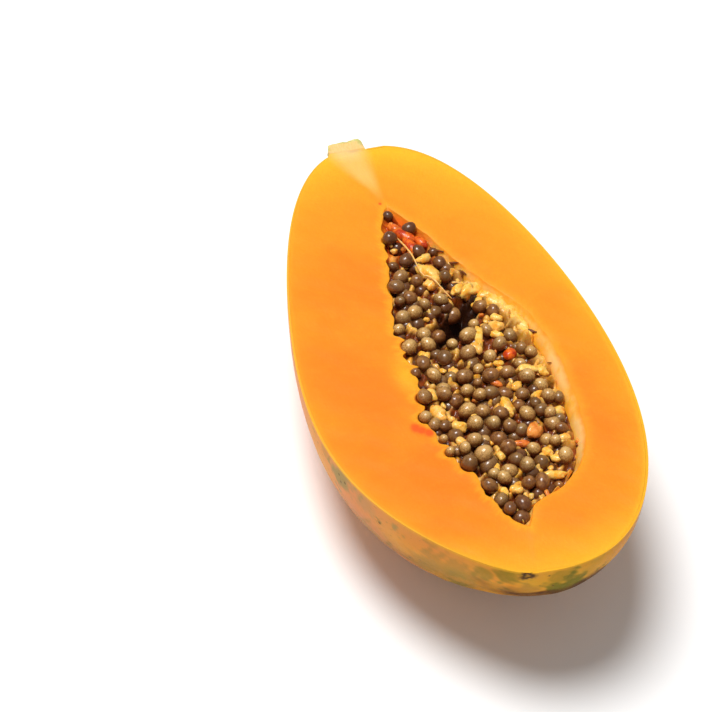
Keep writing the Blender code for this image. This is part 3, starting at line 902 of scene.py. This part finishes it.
# Lumps between the seeds: x, y, half length and half width in millimetres, turn in degrees, redness
lumpMarks = [
    (38.0, 2.6, 3.0, 1.2, 34, 0.9), (41.6, 4.6, 5.0, 1.6, 38, 1.0), (45.4, 8.8, 3.4, 1.3, 32, 1.0),
    (75.0, 23.4, 4.4, 2.0, 48, 0), (79.4, 26.0, 3.8, 1.8, 36, 0), (84.6, 27.2, 4.2, 1.9, 16, 0),
    (90.0, 28.4, 3.0, 1.5, 12, 0), (105.8, 27.4, 2.8, 1.4, 40, 0), (72.6, 19.4, 3.0, 1.6, 70, 0),
    (46.7, 5.2, 4.6, 1.5, 16, 1), (52.9, 6.9, 3.1, 1.2, 103, 0), (59.1, 6.8, 5.0, 1.8, 37, 0),
    (64.0, 6.4, 3.3, 1.5, 105, 0.15), (67.7, 13.3, 3.2, 1.3, 128, 0), (67.7, 17.5, 5.1, 1.9, 106, 0),
    (70.3, 22.1, 3.5, 1.6, 59, 0.1), (81.8, 21.0, 2.2, 1.0, 64, 0),
    (85.6, 19.7, 2.8, 1.5, 38, 0.15), (88.7, 13.2, 5.1, 1.1, 163, 0), (89.0, 18.9, 2.2, 1.0, 56, 0),
    (92.6, -5.0, 2.1, 1.3, 179, 0), (93.3, 11.0, 2.5, 1.2, 4, 0.2), (97.8, 19.9, 2.6, 1.5, 106, 1),
    (100.9, 15.3, 1.7, 1.0, 45, 0), (101.5, 1.1, 2.5, 1.2, 9, 0.2), (104.9, 23.2, 3.6, 1.5, 80, 0),
    (107.9, -8.4, 3.1, 1.5, 36, 0), (108.2, 11.9, 2.3, 0.9, 51, 0.8), (110.6, 17.9, 2.4, 1.0, 103, 0.1),
    (114.6, 22.8, 2.2, 0.9, 115, 0), (115.4, -8.2, 3.9, 1.6, 16, 0.15), (118.2, 12.0, 3.8, 1.6, 5, 0),
    (121.6, -4.0, 2.3, 1.5, 44, 0), (122.3, 26.7, 2.3, 1.5, 89, 0), (128.2, -4.8, 2.5, 1.3, 18, 0.1),
    (128.6, 16.9, 3.3, 1.9, 128, 0.6), (132.5, 11.2, 3.0, 1.0, 76, 0.8), (132.7, 24.4, 2.5, 1.3, 88, 0.1),
    (135.4, 4.1, 2.0, 1.0, 19, 0), (137.2, 17.8, 2.0, 1.2, 46, 0), (139.3, 1.2, 2.6, 0.9, 175, 0),
    (139.9, 19.3, 1.9, 1.0, 48, 0), (145.8, 15.9, 4.3, 1.2, 84, 0), (148.7, 0.6, 2.2, 0.9, 175, 0),
    (148.8, 4.5, 2.0, 1.3, 75, 0.1),
]


# The bed is one ring of points for each station along the cavity: over the top from the wide
# wall to the narrow one, then back under along the half ellipse of the cavity
def buildBed(material):
    x = np.linspace(pulpLook["start"], pulpLook["end"], pulpLook["stations"])[:, None]
    half = np.maximum(cavityHalf(x) - pulpLook["inset"], 1e-5)
    middle = cavityMiddle(x)
    depth = cavityShape["depthRatio"] * half
    across = np.linspace(1.0, -1.0, pulpLook["acrossPoints"])[None]
    y = middle + half * across
    for step in range(4):  # width and height depend on each other
        z = np.maximum(bedHeight(x, y) - pulpLook["below"], -0.97 * depth)
        room = np.sqrt(1.0 - (z / depth) ** 2)
        y = middle + half * across * room - wallRun(-z, half) * np.maximum(across, 0.0) ** 3 * room
    spot = pointsOf(x, y)
    rough = softWaves(spot, 0.0062, 81) + 0.6 * softWaves(spot, 0.0027, 82)
    tongue = softWaves(spot * np.array([1.0, 0.4]), 0.0062, 84) + 1.5 * bell(x, *pulpLook["tonguePlace"])
    tongue = fade(across, 0.58, 0.96) * fade(tongue, -0.3, 1.2)
    inner = 1.0 - np.abs(across) ** 8
    top = z + pulpLook["wave"] * rough * inner + pulpLook["tongueRise"] * tongue * (0.35 + 0.65 * inner)
    share = np.linspace(0.0, 1.0, pulpLook["underPoints"] + 2)[None, 1:-1]
    first, last = np.arcsin(-z[:, -1:] / depth), np.arcsin(-z[:, :1] / depth)
    sweep = first + (np.pi - first - last) * share
    low = depth * np.sin(sweep)
    run = wallRun(low, half) * np.maximum(-np.cos(sweep), 0.0)
    under = pointsOf(x, middle - half * np.cos(sweep) - run, -low)
    ring = np.concatenate([pointsOf(x, y, top), under], axis=1)
    ends = [end.mean(axis=1, keepdims=True) + 0 * end for end in (ring[:1], ring[-1:])]
    points = np.concatenate([ends[0], ring, ends[1]])
    yellow = np.zeros(points.shape[:2])
    yellow[1:-1, :pulpLook["acrossPoints"]] = np.maximum(tongue, 0.8 * fade(rough, 0.1, 1.3))
    masks = {"yellowShare": yellow, "redShare": bell(points[..., 0], *pulpLook["redPlace"]),
             "hollowShare": fade(hollowShare(points[..., 0], points[..., 1]), 0.05, 0.30)}
    return addPiece("pulpBed", points, material, masks)


def buildLumps(material):  # pointed blobs: ball grids stretched, turned and roughened, all at once
    marks = np.array(lumpMarks)
    x, y, length, width = (marks[:, :4] / 1000.0).T
    centre = pointsOf(x, y, bedHeight(x, y) + pulpLook["lumpLift"])[:, None, None]
    sizes = (pointsOf(length, width, width) * np.array(pulpLook["lumpSize"]))[:, None, None]
    body = ballGrid(pulpLook["lumpRings"], pulpLook["lumpAround"])[None] * sizes
    body = np.einsum("nij,nraj->nrai", turnsAbout("Z", np.radians(marks[:, 4])), body)
    redness = marks[:, 5][:, None, None]
    rough = softWaves(body + centre, 0.0036, 91) + 0.45 * softWaves(body + centre, 0.0015, 92)
    points = centre + body * (1.0 + 0.20 * rough * (1.0 - 0.75 * redness))[..., None]
    red = np.maximum(redness, 0.55 * fade((centre - points)[..., 2], -0.0004, 0.0014))
    return addPiece("pulpLumps", points, material, {"yellowShare": 1.0, "redShare": red}, (), 180.0)


def buildCrumbs(material):  # small bits of pulp scattered over the bed by a seeded draw
    draw = np.random.default_rng(29)
    count = pulpLook["crumbs"]
    x = draw.uniform(0.042, 0.158, count)
    y = cavityMiddle(x) + cavityHalf(x) * draw.uniform(-0.80, 0.92, count)
    keep = hollowShare(x, y) < 0.15
    x, y = x[keep], y[keep]
    centre = pointsOf(x, y, bedHeight(x, y) + draw.uniform(-0.0019, 0.0001, len(x)))[:, None, None]
    sizes = draw.uniform(*pulpLook["crumbSize"], (len(x), 3))[:, None, None]
    body = ballGrid(pulpLook["crumbRings"], pulpLook["crumbAround"])[None] * sizes
    points = centre + body * (1.0 + 0.25 * softWaves(body + centre, 0.0016, 93)[..., None])
    red = np.where(draw.uniform(0.0, 1.0, len(x)) < 0.20, 0.65, 0.10)[:, None, None]
    return addPiece("pulpCrumbs", points, material, {"yellowShare": 1.0, "redShare": red}, (), 180.0)


def makePulpMaterial():  # dark red-brown wet bed, partly painted shade between and under the seeds; yellow where the pulp stands up, red spots, and a near-black painted shadow in the hollow
    material, shader = newMaterial("wetPulp")
    cloud = noiseOf(0.45, 4.0)
    grainHeight = grainOf(0.7, 0.8)[1]
    bright = between(cloud, 0.35, 0.62, (0.98, 0.43, 0.034), (0.99, 0.61, 0.150))
    red = between(cloud, 0.38, 0.62, (0.50, 0.040, 0.005), (0.88, 0.160, 0.010))
    yellow = times("yellowShare", remap(cloud, 0.15, 0.40, 0.7, 1.0))
    # the dark red-brown of the bed is partly painted shade under and between the seeds
    colour = between(cloud, 0.35, 0.65, (0.070, 0.012, 0.003), (0.27, 0.052, 0.005))
    colour = blend("redShare", blend(yellow, colour, bright), red)
    # painted shadow: the deep hollow is near black
    colour = blend("hollowShare", colour, (0.030, 0.008, 0.003))
    setInputs(shader, {"Base Color": colour, "Normal": bumpOf(grainHeight, 0.22), "Roughness": 0.34,
                       "Specular IOR Level": 0.2, "Coat Weight": remap("hollowShare", 0.0, 0.8, 0.35, 0.0),
                       "Coat Roughness": 0.14, "Subsurface Weight": 0.3,
                       "Subsurface Radius": (1.0, 0.3, 0.06), "Subsurface Scale": 0.0015})
    return material


pulpMaterial = makePulpMaterial()
pulpBed = buildBed(pulpMaterial)
pulpLumps = buildLumps(pulpMaterial)
pulpCrumbs = buildCrumbs(pulpMaterial)


# Threads: pale strands of pulp over the seeds, and the dark dried seed stalks on the wide wall

threadLook = {
    "steps": 26,
    "around": 10,
    "strands": (
        (((42.0, 1.8, -0.6), (48.4, 2.0, 1.9), (55.0, 5.4, 1.8), (58.2, 2.0, 1.6), (62.6, 5.0, 0.6)), 0.62),
        (((61.6, 4.8, 0.6), (64.0, 7.6, 1.6), (68.0, 7.2, 1.2), (71.4, 10.8, -1.8)), 0.55),
        (((65.6, 12.3, -0.6), (66.4, 13.8, 0.6), (66.8, 15.6, -1.0)), 0.55),
        (((84.2, 13.6, -2.2), (88.6, 13.0, 0.2), (93.0, 12.0, -1.8)), 0.60),
        (((104.0, 24.6, -4.4), (106.6, 25.8, -1.7), (108.6, 27.4, -3.6)), 0.55),
        (((131.6, 13.8, -2.4), (134.0, 12.2, -0.4), (136.8, 12.6, -2.4)), 0.55),
    ),
    "stalkLift": 0.00025,
    "stalkWidth": 1.25,
    "stalks": (
        (101.6, 4.0, 103.2, 2.5, 0.4),
        (103.3, 8.2, 105.0, 5.3, 0.6),
        (119.8, 7.2, 122.1, 4.6, 0.7),
        (131.0, 5.6, 135.9, 3.0, 1.5),
        (123.4, 6.2, 126.2, 4.2, 0.9),
        (139.6, 6.7, 145.1, 2.4, 0.6),
        (144.2, 6.4, 146.6, 4.2, 1.2),
        (47.2, 2.6, 52.2, 0.5, 0.9),
        (56.1, 1.8, 58.1, 0.1, 0.7),
        (60.9, 1.2, 62.4, 1.6, 0.6),
        (72.0, 3.8, 75.1, 1.8, 0.7),
        (113.9, 5.7, 115.7, 4.3, 1.2),
        (89.2, 2.3, 91.2, 1.4, 1.2),
    ),
}


def sweepThreads(paths, widths, tail):  # round threads along smooth curves through their marks, ends closed
    t = np.linspace(0.0, 1.0, threadLook["steps"])
    spin = 2.0 * np.pi * np.arange(threadLook["around"]) / threadLook["around"]
    pieces = []
    for path, width in zip(paths, widths):
        marks = np.array(path)
        last = len(marks) - 1
        weights = np.stack([math.comb(last, k) * t ** k * (1.0 - t) ** (last - k) for k in range(last + 1)])
        line = weights.T @ marks
        along = np.gradient(line, axis=0)
        along = along / lengthOf(along)[:, None]
        side = np.cross(along, np.array([0.0, 0.0, 1.0]))
        side = side / np.maximum(lengthOf(side), 1e-9)[:, None]
        over = np.cross(side, along)
        reach = width / 2.0 * (1.0 - tail * t) * np.minimum(1.0, 40.0 * t * (1.0 - t))
        reach = reach * (1.0 + 0.22 * softWaves(line, 0.0024, 95))
        ring = np.cos(spin)[:, None] * side[:, None] + np.sin(spin)[:, None] * over[:, None]
        pieces.append(line[:, None] + reach[:, None, None] * ring)
    return np.stack(pieces)


def buildStrands(material):  # each along its marks
    paths, widths = zip(*threadLook["strands"])
    paths = [np.array(path) / 1000.0 for path in paths]
    return addPiece("pulpStrands", sweepThreads(paths, np.array(widths) / 1000.0, 0.35), material)


def buildStalks(material):  # each from one place on the wide wall to another, its thick end standing off
    marks = np.array(threadLook["stalks"]) / 1000.0
    paths = []
    for x1, depth1, x2, depth2, width in marks:
        x = np.array([x1, (x1 + x2) / 2.0, x2])
        depth = np.array([depth1, (depth1 + depth2) / 2.0, depth2])
        off = threadLook["stalkLift"] + 0.5 * width * np.array([2.0, 0.6, 0.0])
        paths.append(pointsOf(x, wideWall(x, depth) - off, -depth))
    points = sweepThreads(paths, threadLook["stalkWidth"] * marks[:, 4], 0.7)
    return addPiece("seedStalks", points, material)


def makeThreadMaterial(name, first, second, roughness):  # one colour clouded with another
    material, shader = newMaterial(name)
    cloud = noiseOf(0.9)
    setInputs(shader, {"Base Color": between(cloud, 0.35, 0.65, first, second),
                       "Normal": bumpOf(cloud, 0.08), "Roughness": roughness,
                       "Specular IOR Level": 0.3, "Subsurface Weight": 0.2,
                       "Subsurface Radius": (1.0, 0.4, 0.1), "Subsurface Scale": 0.001})
    return material


pulpStrands = buildStrands(makeThreadMaterial("paleThread", (0.93, 0.42, 0.09), (0.95, 0.60, 0.22), 0.4))
seedStalks = buildStalks(makeThreadMaterial("driedStalk", (0.09, 0.022, 0.007), (0.26, 0.075, 0.018), 0.5))


# Stem stub: half of a short flared peg, cut through with the fruit

stemLook = {
    "centre": -0.0020,
    "radius": 0.0058,
    "flare": 0.0010,
    "chamfer": 0.0006,
    "height": 0.0062,
    "foot": 0.0024,
    "sink": 0.00006,
    "bulge": -0.0002,
    "topTilt": (0.0013, 0.0005),
    "topWave": 0.00016,
    "around": 72,
    "rows": 28,
    "spots": ((0.0009, 0.0012, -0.0084, 0.0010), (-0.0010, 0.0009, 0.0046, 0.0006)),
}


def buildStem(material):  # a half circle and its chord for each row up the stub, closed by caps at both ends
    share = np.linspace(0.0, 1.0, stemLook["rows"])[:, None]
    x = stemLook["foot"] - stemLook["height"] * share
    radius = stemLook["radius"] + stemLook["flare"] * np.exp(-share * 5.0)
    radius = radius - stemLook["chamfer"] * fade(share, 0.75, 1.0)
    turn = np.linspace(0.0, np.pi, stemLook["around"])[None]
    radius = radius * (1.0 + 0.03 * np.sin(turn * 5.0 + 1.0) + 0.02 * np.sin(turn * 11.0 + share * 3.0))
    arc = pointsOf(x, stemLook["centre"] + radius * np.cos(turn), -radius * np.sin(turn))
    chord = np.linspace(0.0, 1.0, stemLook["around"] // 2 + 2)[None, 1:-1]
    faceY = arc[:, -1:, 1] + (arc[:, :1, 1] - arc[:, -1:, 1]) * chord
    ring = np.concatenate([arc, pointsOf(x, faceY, 0.0)], axis=1)
    caps = []
    for end, bulge in ((ring[:1], 0.0), (ring[-1:], stemLook["bulge"])):
        middle = end.mean(axis=1, keepdims=True)
        for inward in (0.35, 0.7, 1.0):
            cap = end + (middle - end) * inward
            cap[..., 0] += bulge * inward
            caps.append(cap)
    points = np.concatenate([*caps[2::-1], ring, *caps[3:]])
    across = points[..., 1] - stemLook["centre"]
    top = fade(-points[..., 0], 0.0, 0.0030)
    narrowUp, wideDown = stemLook["topTilt"]
    tilt = narrowUp * fade(-across, 0.0034, 0.0060) - wideDown * fade(across, 0.0010, 0.0040)
    points[..., 0] += top * tilt
    points[..., 0] += stemLook["topWave"] * top * softWaves(points, 0.0024, 97)
    points[..., 2] -= stemLook["sink"]
    x, y, z = axesOf(points)
    cutShare = fade(z, -0.0007, -0.0002) * fade(x, -0.0038, -0.0026)
    cutShare = cutShare * (1.0 - 0.9 * fade(np.abs(across), 0.0038, 0.0054) * fade(top, 0.0, 0.4))
    dark = sum(bell(x, along, length) * bell(y, side, width)
               for along, length, side, width in stemLook["spots"])
    masks = {"cutShare": cutShare, "darkShare": dark}
    return addPiece("stemStub", points, material, masks, ("stem_stub",), 45.0)


def makeStemMaterial():  # fibrous pale cut in yellow-green bark, with two dark spots
    material, shader = newMaterial("cutStem")
    fibre = noiseOf(2.2, stretch=(0.25, 1.0, 1.0))
    cloud = noiseOf(0.4)
    grainHeight = grainOf(0.5, 0.7)[1]
    bark = between(cloud, 0.35, 0.65, (0.50, 0.46, 0.12), (0.72, 0.65, 0.24))
    bark = blend(remap(fibre, 0.55, 0.75, 0.0, 0.5), bark, (0.30, 0.22, 0.05))
    cut = between(fibre, 0.4, 0.65, (0.91, 0.53, 0.175), (0.92, 0.58, 0.23))
    colour = blend("cutShare", bark, cut)
    colour = blend(times("darkShare", 0.85), colour, (0.22, 0.12, 0.03))
    setInputs(shader, {"Base Color": colour, "Normal": bumpOf(plus(grainHeight, fibre), 0.12),
                       "Roughness": 0.55, "Subsurface Weight": 0.2,
                       "Subsurface Radius": (1.0, 0.5, 0.2), "Subsurface Scale": 0.0015})
    return material


stemStub = buildStem(makeStemMaterial())


# Floor, light and camera

cameraLook = {
    "azimuth": 62.06,
    "elevation": 47.93,
    "roll": 13.98,
    "distance": 0.7412,
    "lens": 126.3,
    "sensor": 36.0,
    "aimRight": -0.0244,
    "aimUp": -0.0034,
}

lightLook = {
    "world": 0.25,
    "keyLight": (0.80, 34.8, (-0.30, -0.46, 1.75)),
    "fillLight": (1.4, 1.5, (0.9, -0.9, 0.9)),
}


def toUnit(vector):
    return vector / np.linalg.norm(vector)


def addCamera():  # on a sphere round the middle of the cut, rolled, then turned to an aim beside the middle
    azimuth, elevation, roll = (math.radians(cameraLook[key]) for key in ("azimuth", "elevation", "roll"))
    flat = math.cos(elevation)
    back = np.array([math.sin(azimuth) * flat, -math.cos(azimuth) * flat, math.sin(elevation)])
    level = toUnit(np.cross([0.0, 0.0, 1.0], back))
    above = np.cross(back, level)
    right = level * math.cos(roll) + above * math.sin(roll)
    up = above * math.cos(roll) - level * math.sin(roll)
    centre = toGround(np.array([fruitShape["length"] / 2.0, 0.0, 0.0]))
    place = centre + back * cameraLook["distance"]
    back = toUnit(place - centre - right * cameraLook["aimRight"] - up * cameraLook["aimUp"])
    right = toUnit(np.cross(up, back))
    up = np.cross(back, right)
    data = bpy.data.cameras.new("viewCamera")
    data.lens = cameraLook["lens"]
    data.sensor_width = cameraLook["sensor"]
    camera = addObject("viewCamera", data)
    turn = Matrix(pointsOf(right, up, back).tolist())
    camera.matrix_world = Matrix.Translation(place.tolist()) @ turn.to_4x4()
    bpy.context.scene.camera = camera


def addSoftLight(name):  # a disk turned towards the half
    data = bpy.data.lights.new(name, "AREA")
    data.shape = "DISK"
    data.size, data.energy, place = lightLook[name]
    lamp = addObject(name, data)
    lamp.location = place
    lamp.rotation_mode = "QUATERNION"
    lamp.rotation_quaternion = (-Vector(place)).to_track_quat("-Z", "Y")


def addFloor():
    material, shader = newMaterial("paleFloor")
    cloud = noiseOf(2.0, 2.0, 0.5, place=addNode("ShaderNodeTexCoord").outputs["Object"])
    colour = between(cloud, 0.3, 0.7, (0.94, 0.94, 0.94), (0.96, 0.96, 0.96))
    setInputs(shader, {"Base Color": colour, "Roughness": 0.9, "Specular IOR Level": 0.1})
    mesh = bpy.data.meshes.new("studioFloor")
    reach = 4.0
    mesh.from_pydata([(-reach, -reach, 0), (reach, -reach, 0), (reach, reach, 0), (-reach, reach, 0)], [],
                     [(0, 1, 2, 3)])
    mesh.materials.append(material)
    floor = addObject("studioFloor", mesh)


def addWorld():
    world = bpy.data.worlds.new("studio")
    world.use_nodes = True
    background = world.node_tree.nodes["Background"]
    setInputs(background, {"Color": (1.0, 1.0, 1.0, 1.0), "Strength": lightLook["world"]})
    bpy.context.scene.world = world
    bpy.context.scene.view_settings.view_transform = "Standard"


addCamera()
addFloor()
addWorld()
addSoftLight("keyLight")
addSoftLight("fillLight")
print("stage ready")
